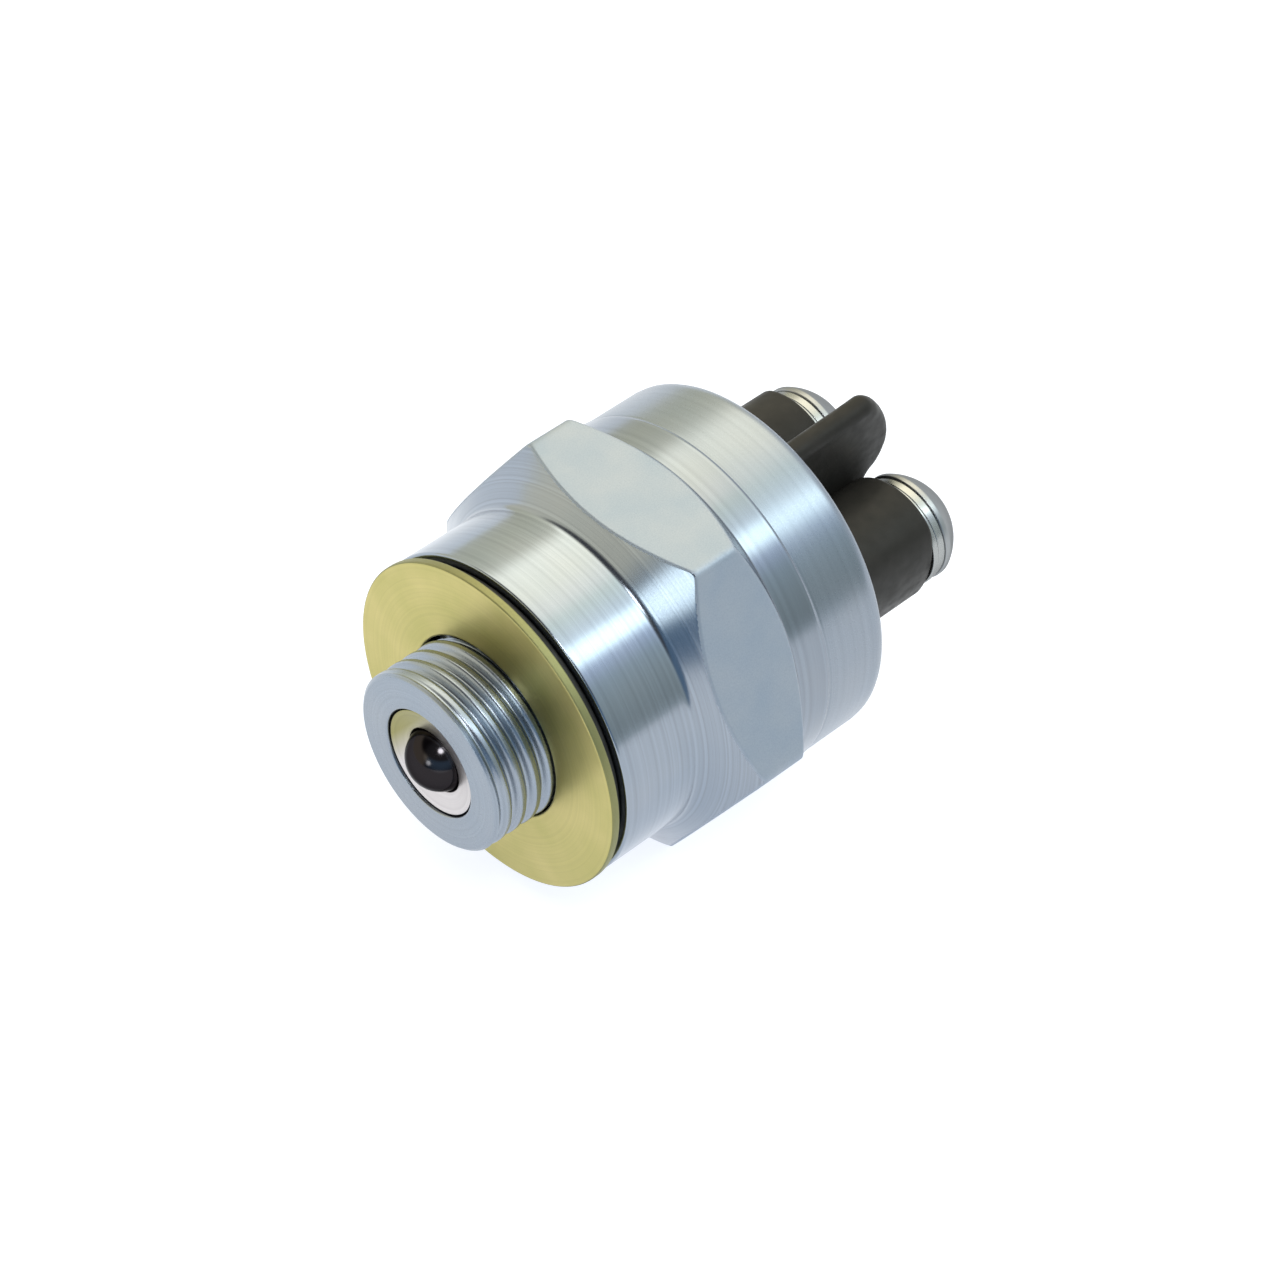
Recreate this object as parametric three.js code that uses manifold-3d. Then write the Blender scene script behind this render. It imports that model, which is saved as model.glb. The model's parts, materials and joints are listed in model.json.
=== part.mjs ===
// Two-terminal ball-plunger switch, normally open. Millimetres.
// +X runs along the axis from the nose to the terminals, +Z is up when it lies on a hexagon flat.
// The origin is on the axis, in the plane of the front collar that seats on the washer.
// Pressing the ball slides the plunger and the pusher towards +X. The contact bridge floats
// between the overtravel spring and the return spring, and meets both silver tips at full press.

import * as THREE from 'three';
import { mergeVertices } from 'three/addons/utils/BufferGeometryUtils.js';
import Module from 'manifold-3d';

const wasm = await Module();
wasm.setup();

// ---------------------------------------------------------------- driving dimensions

const FINE = 60;                  // facets round the body
const MEDIUM = 32;                // facets round the turned pieces inside it
const SMALL = 24;                 // facets round screws, washers and bosses
const GAP = 0.05;                 // clearance between pieces that rest on each other
const SLIDE_GAP = 0.15;           // radial clearance of the sliding pieces
const MARGIN = 1;                 // how far a cutting or joining tool reaches past its face

// hexagon body
const HEX_ACROSS_FLATS = 32;
const HEX_START = 9.0;            // where the front cone reaches the flats
const HEX_END = 16.9;             // where the rear cone leaves the flats
const HEX_CORNER_START = 10.76;   // front end of the corners
const HEX_CORNER_END = 15.01;     // rear end of the corners
const FRONT_COLLAR_R = 14.3;
const FRONT_COLLAR_END = 7.6;
const REAR_COLLAR_R = 15.85;
const SKIRT_START = 20.4;         // groove between the rear collar and the rolled skirt
const SKIRT_R = 15.78;
const BODY_END = 26.8;
const SKIRT_WALL = 1.5;
const LIP_R = 13.3;               // inner edge of the skirt, rolled over the base
const LIP_THICKNESS = 1.1;

// threaded nose, M16 x 1.5
const NOSE_END = -7.5;
const THREAD_MAJOR_R = 7.87;
const THREAD_ROOT_R = 7.0;
const THREAD_START = -1.7;        // the relief next to the collar ends here
const NOSE_CHAMFER = 0.3;

// stepped bore
const NOSE_BORE_R = 4.8;
const FLANGE_BORE_START = 1.0;    // step that stops the plunger flange
const FLANGE_BORE_R = 7.5;
const CAVITY_START = 8.8;
const CAVITY_R = 11.0;
const SHOULDER = 16.4;            // seat of the base gasket
const SKIRT_BORE_R = SKIRT_R - SKIRT_WALL;

// washer and seal on the nose
const WASHER_R = 14.42;
const WASHER_HOLE_R = 8.02;
const WASHER_FRONT = -1.65;
const WASHER_BACK = -0.9;
const SEAL_R = 13.6;
const SEAL_HOLE_R = 8.5;

// ball and plunger
const BALL_R = 2.78;
const BALL_CENTRE = -6.2;
const PLUNGER_FRONT = -7.3;       // outer rim of the dished front face
const PLUNGER_DISH = -6.9;        // where the dish meets the ball's pocket
const PLUNGER_R = NOSE_BORE_R - SLIDE_GAP;
const BALL_POCKET_R = BALL_R + 0.07;
const O_RING_GROOVE = [-3.05, -1.65];
const O_RING_TUBE_R = 0.57;
const O_RING_GROOVE_R = NOSE_BORE_R - 2 * O_RING_TUBE_R - 2 * GAP;
const FLANGE_R = 7.2;
const FLANGE = [FLANGE_BORE_START + 0.2, 2.4];
const STEM_R = 2.4;
const STEM_END = 6.2;

// pusher
const PUSHER_FRONT = 3.6;
const PUSHER_HUB_R = 4.2;
const PUSHER_FLANGE = [6.5, 8.0];
const PUSHER_FLANGE_R = 6.6;
const PIN_R = 1.5;
const PIN_END = 16.8;
const SPRING_SPIGOT_R = 2.3;
const SPRING_SPIGOT_END = 8.9;

// contact bridge and springs
const BRIDGE = [13.0, 14.0];
const BRIDGE_R = 8.0;
const BRIDGE_HOLE_R = 1.7;
const BRIDGE_TRAVEL = 1.0;
const CONTACT_GAP = 0.02;         // what is left between bridge and tips at full press
const OVERTRAVEL_SPRING_R = 2.95;
const OVERTRAVEL_WIRE_R = 0.35;
const OVERTRAVEL_TURNS = 4;
const RETURN_SPRING_R = 2.3;
const RETURN_WIRE_R = 0.3;
const RETURN_TURNS = 6;

// insulating liner and gasket
const LINER_WALL = 0.8;
const LINER_LIP_R = 7.7;
const GASKET_THICKNESS = 0.8;

// moulded base; its terminals are turned a little from the hexagon's corners
const BASE_TURN = THREE.MathUtils.degToRad(5.4);
const BASE_FRONT = SHOULDER + GASKET_THICKNESS + 2 * GAP;
const BASE_FLANGE_END = BODY_END - LIP_THICKNESS - GAP;
const BASE_FACE = 26.3;           // plain rear face inside the rolled lip
const TURRET_R = 10.5;            // the bosses are trimmed to this radius about the axis
const BOSS_R = 5.5;
const BOSS_END = 37.9;
const TERMINAL_Y = 6.0;
const SPRING_POCKET_R = 2.8;
const SPRING_POCKET_END = 22.5;

// barrier wall between the terminals
const BARRIER_THICKNESS = 2.1;
const BARRIER_ROOT_TOP = 10.65;   // its height above the axis where it leaves the plate
const BARRIER_EDGE = [            // its upper half in [x, z], from the top to the middle
  [36.5, 11.3], [38.1, 11.45], [39.05, 10.7], [39.95, 9.5], [40.65, 8.3], [41.15, 7.15],
  [41.45, 6.1], [41.55, 5.0], [41.3, 3.7], [40.75, 2.6], [40.0, 2.0], [39.7, 1.0],
];

// terminals, M5
const STUD_HEAD_THICKNESS = 1.0;
const STUD_HEAD = [BASE_FRONT - STUD_HEAD_THICKNESS, BASE_FRONT - GAP];
const STUD_HEAD_R = 2.7;
const STUD_NECK_R = 2.2;
const STUD_STEP = 26.0;
const STUD_R = 3.8;
const STUD_BORE_R = 2.6;
const STUD_BORE_FLOOR = 27.0;
const TIP_R = 1.7;
const TIP_FRONT = BRIDGE[1] + BRIDGE_TRAVEL + CONTACT_GAP;
const SCREW_R = 2.45;
const SCREW_LENGTH = 10.5;
const SCREW_HEAD_R = 4.75;
const SCREW_HEAD_SIDE = 0.5;
const SCREW_HEAD_HEIGHT = 3.5;
const RECESS_WIDTH = 1.3;
const RECESS_SPAN = 5.2;
const RECESS_DEPTH = 2.2;
const CLAMP_WASHER_R = 4.7;
const CLAMP_WASHER_THICKNESS = 0.6;
const LOCK_WASHER_R = 4.3;
const LOCK_WASHER_THICKNESS = 0.8;
const LOCK_WASHER_SPLIT = 0.9;
const SCREW_WASHER_HOLE_R = 2.7;

// ---------------------------------------------------------------- materials

function finish(color, roughness, metalness) {
  return new THREE.MeshStandardMaterial({ color, roughness, metalness });
}

const ZINC = finish(0xc6d2da, 0.32, 1.0);
const YELLOW_ZINC = finish(0xc4b878, 0.38, 1.0);
const POLISHED_STEEL = finish(0x9a9aa0, 0.08, 1.0);
const STEEL = finish(0xa8a8a4, 0.35, 1.0);
const SPRING_STEEL = finish(0x8e9296, 0.3, 1.0);
const NICKEL = finish(0xd4d6d0, 0.18, 1.0);
const COPPER = finish(0xb87850, 0.35, 1.0);
const BRASS = finish(0xb89a50, 0.35, 1.0);
const SILVER = finish(0xdadada, 0.25, 1.0);
const RUBBER = finish(0x161616, 0.8, 0.0);
const PHENOLIC = finish(0x1b1a19, 0.5, 0.0);
const NYLON = finish(0xdcd6c4, 0.55, 0.0);
const LINER_PLASTIC = finish(0x7a2f22, 0.6, 0.0);

// ---------------------------------------------------------------- shapes

// A solid of revolution about X. The profile holds [x, radius] pairs with the outside running
// towards +X; it starts and ends on the axis, or is a closed ring.
function turned(profile, facets) {
  const points = profile.map(([x, radius]) => new THREE.Vector2(radius, x));
  return new THREE.LatheGeometry(points, facets).rotateZ(-Math.PI / 2);
}

// A hollow solid of revolution. The outline of [x, radius] pairs is closed here.
function ring(outline, facets) {
  return turned([...outline, outline[0]], facets);
}

// A plain tube or washer between two stations along the axis.
function tube(start, end, innerR, outerR, facets) {
  return ring([[start, innerR], [start, outerR], [end, outerR], [end, innerR]], facets);
}

function rod(start, end, radius, facets) {
  return turned([[start, 0], [start, radius], [end, radius], [end, 0]], facets);
}

// A box given by its low and high corners.
function block(low, high) {
  const size = high.map((value, i) => value - low[i]);
  const centre = high.map((value, i) => (value + low[i]) / 2);
  return new THREE.BoxGeometry(...size).translate(...centre);
}

// A coil of round wire about X, its first and last turns lying at the two ends.
function coilSpring(start, end, meanR, wireR, turns) {
  const first = start + wireR;
  const last = end - wireR;
  class Helix extends THREE.Curve {
    getPoint(t, target = new THREE.Vector3()) {
      const angle = t * turns * 2 * Math.PI;
      const x = first + (last - first) * t;
      return target.set(x, meanR * Math.sin(angle), meanR * Math.cos(angle));
    }
  }
  const wireSides = 5;
  const stepsPerTurn = 10;
  const wire = new THREE.Shape().absarc(0, 0, wireR, 0, 2 * Math.PI);
  return new THREE.ExtrudeGeometry(wire, {
    curveSegments: wireSides,
    steps: stepsPerTurn * turns,
    extrudePath: new Helix(),
  });
}

// ---------------------------------------------------------------- joining and cutting

function solidOf(geometry) {
  const bare = geometry.clone();
  bare.deleteAttribute('normal');
  bare.deleteAttribute('uv');
  const merged = mergeVertices(bare);
  const corners = merged.index.array;
  const kept = [];
  for (let i = 0; i < corners.length; i += 3) {
    const [a, b, c] = [corners[i], corners[i + 1], corners[i + 2]];
    if (a !== b && b !== c && c !== a) {
      kept.push(a, b, c);
    }
  }
  return new wasm.Manifold(new wasm.Mesh({
    numProp: 3,
    vertProperties: Float32Array.from(merged.attributes.position.array),
    triVerts: Uint32Array.from(kept),
  }));
}

function geometryOf(solid) {
  const mesh = solid.getMesh();
  const geometry = new THREE.BufferGeometry();
  geometry.setAttribute('position', new THREE.BufferAttribute(mesh.vertProperties, 3));
  geometry.setIndex(new THREE.BufferAttribute(mesh.triVerts, 1));
  geometry.computeVertexNormals();
  return geometry;
}

function cut(solid, ...tools) {
  return tools.reduce((left, tool) => left.subtract(solidOf(tool)), solid);
}

// ---------------------------------------------------------------- outer pieces

// One turning from hexagon bar: the turned outline, trimmed by the hexagon.
function hexBody() {
  const cornerR = HEX_ACROSS_FLATS / Math.sqrt(3);
  const flatR = HEX_ACROSS_FLATS / 2;
  const edge = 0.2;
  const groove = 0.15;
  const rimRadius = 0.6;
  const outside = [
    [NOSE_END, NOSE_BORE_R],
    [NOSE_END, THREAD_MAJOR_R - NOSE_CHAMFER],
    [NOSE_END + NOSE_CHAMFER, THREAD_MAJOR_R],
    [THREAD_START - NOSE_CHAMFER, THREAD_MAJOR_R],
    [THREAD_START, THREAD_ROOT_R],
    [0, THREAD_ROOT_R],
    [0, FRONT_COLLAR_R - edge],
    [edge, FRONT_COLLAR_R],
    [FRONT_COLLAR_END, FRONT_COLLAR_R],
    [HEX_START, flatR],
    [HEX_CORNER_START, cornerR],
    [HEX_CORNER_END, cornerR],
    [HEX_END, flatR],
    [HEX_END + groove, REAR_COLLAR_R],
    [SKIRT_START - groove, REAR_COLLAR_R],
    [SKIRT_START, SKIRT_R - groove],
    [SKIRT_START + groove, SKIRT_R],
    [BODY_END - rimRadius, SKIRT_R],
    [BODY_END, SKIRT_R - rimRadius],
  ];
  const bore = [
    [BODY_END, LIP_R],
    [BODY_END - LIP_THICKNESS, LIP_R],
    [BODY_END - LIP_THICKNESS, SKIRT_BORE_R],
    [SHOULDER, SKIRT_BORE_R],
    [SHOULDER, CAVITY_R],
    [CAVITY_START, CAVITY_R],
    [CAVITY_START, FLANGE_BORE_R],
    [FLANGE_BORE_START, FLANGE_BORE_R],
    [FLANGE_BORE_START, NOSE_BORE_R],
  ];
  const length = BODY_END - NOSE_END + 2 * MARGIN;
  const bar = new THREE.CylinderGeometry(cornerR, cornerR, length, 6, 1, false, Math.PI / 6)
    .rotateZ(-Math.PI / 2)
    .translate((BODY_END + NOSE_END) / 2, 0, 0);
  return geometryOf(solidOf(ring([...outside, ...bore], FINE)).intersect(solidOf(bar)));
}

function seatWasher() {
  return tube(WASHER_FRONT, WASHER_BACK, WASHER_HOLE_R, WASHER_R, FINE);
}

function sealRing() {
  return tube(WASHER_BACK + GAP, -GAP, SEAL_HOLE_R, SEAL_R, FINE);
}

// ---------------------------------------------------------------- plunger group

function ball() {
  return new THREE.SphereGeometry(BALL_R, 20, 12)
    .rotateZ(-Math.PI / 2)
    .translate(BALL_CENTRE, 0, 0);
}

function plunger() {
  const pocketFloor = BALL_CENTRE + BALL_R + GAP;
  return turned([
    [pocketFloor, 0],
    [pocketFloor, BALL_POCKET_R],
    [PLUNGER_DISH, BALL_POCKET_R],
    [PLUNGER_FRONT, PLUNGER_R],
    [O_RING_GROOVE[0], PLUNGER_R],
    [O_RING_GROOVE[0], O_RING_GROOVE_R],
    [O_RING_GROOVE[1], O_RING_GROOVE_R],
    [O_RING_GROOVE[1], PLUNGER_R],
    [FLANGE[0], PLUNGER_R],
    [FLANGE[0], FLANGE_R],
    [FLANGE[1], FLANGE_R],
    [FLANGE[1], STEM_R],
    [STEM_END, STEM_R],
    [STEM_END, 0],
  ], MEDIUM);
}

function plungerORing() {
  const centreX = (O_RING_GROOVE[0] + O_RING_GROOVE[1]) / 2;
  const centreR = NOSE_BORE_R - GAP - O_RING_TUBE_R;
  const sides = 8;
  const outline = [];
  for (let i = 0; i < sides; i += 1) {
    const angle = Math.PI - (i * 2 * Math.PI) / sides;
    outline.push([
      centreX + O_RING_TUBE_R * Math.cos(angle),
      centreR + O_RING_TUBE_R * Math.sin(angle),
    ]);
  }
  return ring(outline, MEDIUM);
}

function pusher() {
  const socketFloor = STEM_END + GAP;
  const pinChamfer = 0.3;
  return turned([
    [socketFloor, 0],
    [socketFloor, STEM_R + GAP],
    [PUSHER_FRONT, STEM_R + GAP],
    [PUSHER_FRONT, PUSHER_HUB_R],
    [PUSHER_FLANGE[0], PUSHER_HUB_R],
    [PUSHER_FLANGE[0], PUSHER_FLANGE_R],
    [PUSHER_FLANGE[1], PUSHER_FLANGE_R],
    [PUSHER_FLANGE[1], SPRING_SPIGOT_R],
    [SPRING_SPIGOT_END, SPRING_SPIGOT_R],
    [SPRING_SPIGOT_END, PIN_R],
    [PIN_END - pinChamfer, PIN_R],
    [PIN_END, PIN_R - pinChamfer],
    [PIN_END, 0],
  ], MEDIUM);
}

// ---------------------------------------------------------------- contact group

function contactBridge() {
  return tube(BRIDGE[0], BRIDGE[1], BRIDGE_HOLE_R, BRIDGE_R, MEDIUM);
}

function overtravelSpring() {
  return coilSpring(PUSHER_FLANGE[1] + GAP, BRIDGE[0] - GAP, OVERTRAVEL_SPRING_R,
    OVERTRAVEL_WIRE_R, OVERTRAVEL_TURNS);
}

function returnSpring() {
  return coilSpring(BRIDGE[1] + GAP, SPRING_POCKET_END - GAP, RETURN_SPRING_R,
    RETURN_WIRE_R, RETURN_TURNS);
}

function insulatingLiner() {
  const outerR = CAVITY_R - GAP;
  const innerR = outerR - LINER_WALL;
  const front = CAVITY_START + GAP;
  const back = SHOULDER - GAP;
  return ring([
    [front, LINER_LIP_R],
    [front, outerR],
    [back, outerR],
    [back, innerR],
    [front + LINER_WALL, innerR],
    [front + LINER_WALL, LINER_LIP_R],
  ], MEDIUM);
}

function baseGasket() {
  const front = SHOULDER + GAP;
  const inset = 0.2;
  return tube(front, front + GASKET_THICKNESS, CAVITY_R + inset, SKIRT_BORE_R - inset, MEDIUM);
}

// ---------------------------------------------------------------- moulded base

// Outline of the barrier wall in (x, z), the same above and below the axis.
function barrierOutline() {
  const upper = [[BASE_FLANGE_END - MARGIN, BARRIER_ROOT_TOP], ...BARRIER_EDGE];
  const lower = upper.map(([x, z]) => [x, -z]).reverse();
  return new THREE.Shape([...upper, ...lower].map(([x, z]) => new THREE.Vector2(x, z)));
}

function barrierWall() {
  return new THREE.ExtrudeGeometry(barrierOutline(), {
    depth: BARRIER_THICKNESS,
    bevelEnabled: false,
  })
    .rotateX(Math.PI / 2)
    .translate(0, BARRIER_THICKNESS / 2, 0);
}

function terminalBase() {
  const flangeR = SKIRT_BORE_R - 2 * GAP;
  const plateR = LIP_R - 2 * GAP;
  const shoulder = 0.3;
  const plate = solidOf(turned([
    [BASE_FRONT, 0],
    [BASE_FRONT, flangeR],
    [BASE_FLANGE_END - shoulder, flangeR],
    [BASE_FLANGE_END, flangeR - shoulder],
    [BASE_FLANGE_END, plateR],
    [BASE_FACE, plateR],
    [BASE_FACE, 0],
  ], FINE));
  const turret = solidOf(rod(BASE_FLANGE_END - MARGIN, BOSS_END + MARGIN, TURRET_R, FINE));
  let bosses = solidOf(barrierWall());
  for (const side of [-1, 1]) {
    const boss = rod(BASE_FLANGE_END - MARGIN, BOSS_END, BOSS_R, MEDIUM);
    bosses = bosses.add(solidOf(boss.translate(0, side * TERMINAL_Y, 0)).intersect(turret));
  }
  const tools = [rod(BASE_FRONT - MARGIN, SPRING_POCKET_END, SPRING_POCKET_R, SMALL)];
  for (const side of [-1, 1]) {
    const neck = rod(BASE_FRONT - MARGIN, STUD_STEP + MARGIN, STUD_NECK_R + GAP, SMALL);
    const socket = rod(STUD_STEP - GAP, BOSS_END + MARGIN, STUD_R + GAP, SMALL);
    tools.push(neck.translate(0, side * TERMINAL_Y, 0));
    tools.push(socket.translate(0, side * TERMINAL_Y, 0));
  }
  return geometryOf(cut(plate.add(bosses), ...tools));
}

// ---------------------------------------------------------------- terminals, on their own axis

function contactStud() {
  const end = BOSS_END - GAP;
  return turned([
    [STUD_HEAD[0], 0],
    [STUD_HEAD[0], STUD_HEAD_R],
    [STUD_HEAD[1], STUD_HEAD_R],
    [STUD_HEAD[1], STUD_NECK_R],
    [STUD_STEP, STUD_NECK_R],
    [STUD_STEP, STUD_R],
    [end, STUD_R],
    [end, STUD_BORE_R],
    [STUD_BORE_FLOOR, STUD_BORE_R],
    [STUD_BORE_FLOOR, 0],
  ], SMALL);
}

function contactTip() {
  const dome = 0.25;
  return turned([
    [TIP_FRONT, 0],
    [TIP_FRONT, TIP_R - dome],
    [TIP_FRONT + dome, TIP_R],
    [STUD_HEAD[0] - GAP, TIP_R],
    [STUD_HEAD[0] - GAP, 0],
  ], SMALL);
}

const CLAMP_WASHER_FRONT = BOSS_END + GAP;
const LOCK_WASHER_FRONT = CLAMP_WASHER_FRONT + CLAMP_WASHER_THICKNESS + GAP;
const SCREW_HEAD_FRONT = LOCK_WASHER_FRONT + LOCK_WASHER_THICKNESS + GAP;

function clampWasher() {
  return tube(CLAMP_WASHER_FRONT, CLAMP_WASHER_FRONT + CLAMP_WASHER_THICKNESS,
    SCREW_WASHER_HOLE_R, CLAMP_WASHER_R, SMALL);
}

function lockWasher() {
  const end = LOCK_WASHER_FRONT + LOCK_WASHER_THICKNESS;
  const washer = solidOf(tube(LOCK_WASHER_FRONT, end, SCREW_WASHER_HOLE_R, LOCK_WASHER_R, SMALL));
  const split = block(
    [LOCK_WASHER_FRONT - MARGIN, 0, -LOCK_WASHER_SPLIT / 2],
    [end + MARGIN, LOCK_WASHER_R + MARGIN, LOCK_WASHER_SPLIT / 2],
  );
  return geometryOf(cut(washer, split));
}

function terminalScrew() {
  const top = SCREW_HEAD_FRONT + SCREW_HEAD_HEIGHT;
  const bottom = SCREW_HEAD_FRONT - SCREW_LENGTH;
  const tipChamfer = 0.4;
  const domeHeight = SCREW_HEAD_HEIGHT - SCREW_HEAD_SIDE;
  const sphereR = (SCREW_HEAD_R ** 2 + domeHeight ** 2) / (2 * domeHeight);
  const profile = [
    [bottom, 0],
    [bottom, SCREW_R - tipChamfer],
    [bottom + tipChamfer, SCREW_R],
    [SCREW_HEAD_FRONT, SCREW_R],
    [SCREW_HEAD_FRONT, SCREW_HEAD_R],
  ];
  const rings = 5;
  const rimAngle = Math.asin(SCREW_HEAD_R / sphereR);
  for (let i = 0; i <= rings; i += 1) {
    const angle = rimAngle * (1 - i / rings);
    profile.push([top - sphereR * (1 - Math.cos(angle)), sphereR * Math.sin(angle)]);
  }
  const recessFloor = top - RECESS_DEPTH;
  const slots = [[RECESS_SPAN, RECESS_WIDTH], [RECESS_WIDTH, RECESS_SPAN]].map(([y, z]) => block(
    [recessFloor, -y / 2, -z / 2],
    [top + MARGIN, y / 2, z / 2],
  ));
  return geometryOf(cut(solidOf(turned(profile, SMALL)), ...slots));
}

// ---------------------------------------------------------------- assembly

function part(name, geometry, material) {
  const mesh = new THREE.Mesh(geometry, material);
  mesh.name = name;
  return mesh;
}

const assembly = new THREE.Group();
assembly.name = 'ball_plunger_switch';
assembly.add(
  part('hex_body', hexBody(), ZINC),
  part('seat_washer', seatWasher(), YELLOW_ZINC),
  part('seal_ring', sealRing(), RUBBER),
  part('ball', ball(), POLISHED_STEEL),
  part('plunger', plunger(), STEEL),
  part('plunger_o_ring', plungerORing(), RUBBER),
  part('pusher', pusher(), NYLON),
  part('overtravel_spring', overtravelSpring(), SPRING_STEEL),
  part('contact_bridge', contactBridge(), COPPER),
  part('return_spring', returnSpring(), SPRING_STEEL),
  part('insulating_liner', insulatingLiner(), LINER_PLASTIC),
  part('base_gasket', baseGasket(), RUBBER),
);

const base = new THREE.Group();
base.name = 'base_group';
base.rotation.x = BASE_TURN;
base.add(part('terminal_base', terminalBase(), PHENOLIC));
for (const [side, suffix] of [[1, 'left'], [-1, 'right']]) {
  const terminal = new THREE.Group();
  terminal.position.y = side * TERMINAL_Y;
  terminal.add(
    part(`contact_stud_${suffix}`, contactStud(), BRASS),
    part(`contact_tip_${suffix}`, contactTip(), SILVER),
    part(`clamp_washer_${suffix}`, clampWasher(), NICKEL),
    part(`lock_washer_${suffix}`, lockWasher(), NICKEL),
    part(`terminal_screw_${suffix}`, terminalScrew(), NICKEL),
  );
  base.add(terminal);
}
assembly.add(base);

export default assembly;
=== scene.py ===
"""Looks of the ball-plunger switch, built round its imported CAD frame.

Shapes are worked out in millimetres and written to Blender in metres. X runs along the switch's
axis from the nose to the terminals. Most ends of pieces come from the frame's boxes.
"""

import json
import math

import bmesh
import bpy
import numpy as np
from mathutils import Matrix, Vector

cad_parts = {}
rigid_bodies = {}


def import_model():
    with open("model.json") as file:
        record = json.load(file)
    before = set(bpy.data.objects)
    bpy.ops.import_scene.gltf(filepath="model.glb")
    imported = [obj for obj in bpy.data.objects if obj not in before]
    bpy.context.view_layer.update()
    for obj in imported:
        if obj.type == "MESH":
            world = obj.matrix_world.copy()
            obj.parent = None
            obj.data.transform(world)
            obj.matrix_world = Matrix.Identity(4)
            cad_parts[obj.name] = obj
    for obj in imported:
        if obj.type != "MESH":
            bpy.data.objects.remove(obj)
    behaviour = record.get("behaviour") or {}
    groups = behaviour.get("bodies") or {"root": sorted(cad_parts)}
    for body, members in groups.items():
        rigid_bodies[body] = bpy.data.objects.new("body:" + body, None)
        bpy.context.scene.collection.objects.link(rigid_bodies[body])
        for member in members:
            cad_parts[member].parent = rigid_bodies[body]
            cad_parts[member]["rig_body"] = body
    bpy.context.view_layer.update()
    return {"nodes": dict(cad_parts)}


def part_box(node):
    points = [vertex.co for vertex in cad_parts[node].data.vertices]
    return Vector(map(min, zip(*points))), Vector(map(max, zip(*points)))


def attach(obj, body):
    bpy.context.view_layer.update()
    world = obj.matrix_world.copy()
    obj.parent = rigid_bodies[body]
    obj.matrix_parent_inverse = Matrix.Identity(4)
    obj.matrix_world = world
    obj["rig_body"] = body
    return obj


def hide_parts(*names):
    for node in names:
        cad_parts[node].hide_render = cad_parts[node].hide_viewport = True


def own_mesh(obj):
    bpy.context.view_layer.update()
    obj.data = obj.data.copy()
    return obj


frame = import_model()

MM = 0.001
WELD = 0.002 * MM                 # points closer than this are one point after a cut or a join
TURN = 2 * math.pi


def span(node):
    """First and last x of a CAD node, in millimetres."""
    low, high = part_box(node)
    return low.x / MM, high.x / MM


def centre(node):
    """Middle of a CAD node's box in y and z, in millimetres."""
    low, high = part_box(node)
    middle = (low + high) / (2 * MM)
    return middle.y, middle.z


# ---------------------------------------------------------------- outlines

GUARD = 1.2                       # how far a corner's guard points stand off, in corner radii


def rounded(points, radius, closed=True, steps=4):
    """An outline with its corners rounded. A point's third number is its own corner radius.

    A guard point on each side of a corner keeps the flats beside it shaded flat.
    """
    outline = []
    for i, point in enumerate(points):
        here = np.array(point[:2], float)
        own = point[2] if len(point) > 2 else radius
        is_end = not closed and i in (0, len(points) - 1)
        if is_end or own == 0:
            outline.append(here)
            continue
        back = np.array(points[i - 1][:2], float) - here
        ahead = np.array(points[(i + 1) % len(points)][:2], float) - here
        back_length, ahead_length = np.linalg.norm(back), np.linalg.norm(ahead)
        reach = min(own, 0.4 * back_length, 0.4 * ahead_length)
        start = here + back * reach / back_length
        end = here + ahead * reach / ahead_length
        outline.append(here + (start - here) * GUARD)
        for t in np.linspace(0, 1, steps + 1):
            outline.append((1 - t) ** 2 * start + 2 * t * (1 - t) * here + t * t * end)
        outline.append(here + (end - here) * GUARD)
    return np.array(outline)


def refined(outline, step, low=-math.inf, high=math.inf):
    """A closed outline whose sides between stations low and high are split into short steps."""
    dense = []
    for here, ahead in zip(outline, np.roll(outline, -1, axis=0)):
        inside = low <= (here[0] + ahead[0]) / 2 <= high
        pieces = max(1, math.ceil(np.linalg.norm(ahead - here) / step)) if inside else 1
        for k in range(pieces):
            dense.append(here + (ahead - here) * k / pieces)
    return np.array(dense)


def arc(centre_point, radius, start, end, steps):
    """Points along a circle, angles in radians."""
    angles = np.linspace(start, end, steps + 1)
    return [(centre_point[0] + radius * math.cos(a), centre_point[1] + radius * math.sin(a))
            for a in angles]


def inset(outline, distance):
    """A closed counter-clockwise outline moved inwards."""
    back = outline - np.roll(outline, 1, axis=0)
    ahead = np.roll(outline, -1, axis=0) - outline
    normals = []
    for side in (back, ahead):
        unit = side / np.linalg.norm(side, axis=1)[:, None]
        normals.append(np.stack([-unit[:, 1], unit[:, 0]], axis=1))
    middle = normals[0] + normals[1]
    middle /= np.linalg.norm(middle, axis=1)[:, None]
    stretch = 1 / np.clip((middle * normals[0]).sum(1), 0.5, 1)
    return outline + middle * (distance * stretch)[:, None]


def smooth_min(a, b, blend):
    """The smaller of a and b, with the edge between them rounded."""
    share = np.clip(0.5 + 0.5 * (b - a) / blend, 0, 1)
    return b + (a - b) * share - blend * share * (1 - share)


def smooth_step(value):
    t = np.clip(value, 0, 1)
    return t * t * (3 - 2 * t)


# ---------------------------------------------------------------- meshes

def grid_faces(rows, columns, closed):
    """Quads between the rows of a grid whose columns run round an axis."""
    faces = []
    for i in range(rows if closed else rows - 1):
        first, second = i * columns, (i + 1) % rows * columns
        for j in range(columns):
            k = (j + 1) % columns
            faces.append((first + j, first + k, second + k, second + j))
    return faces


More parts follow.
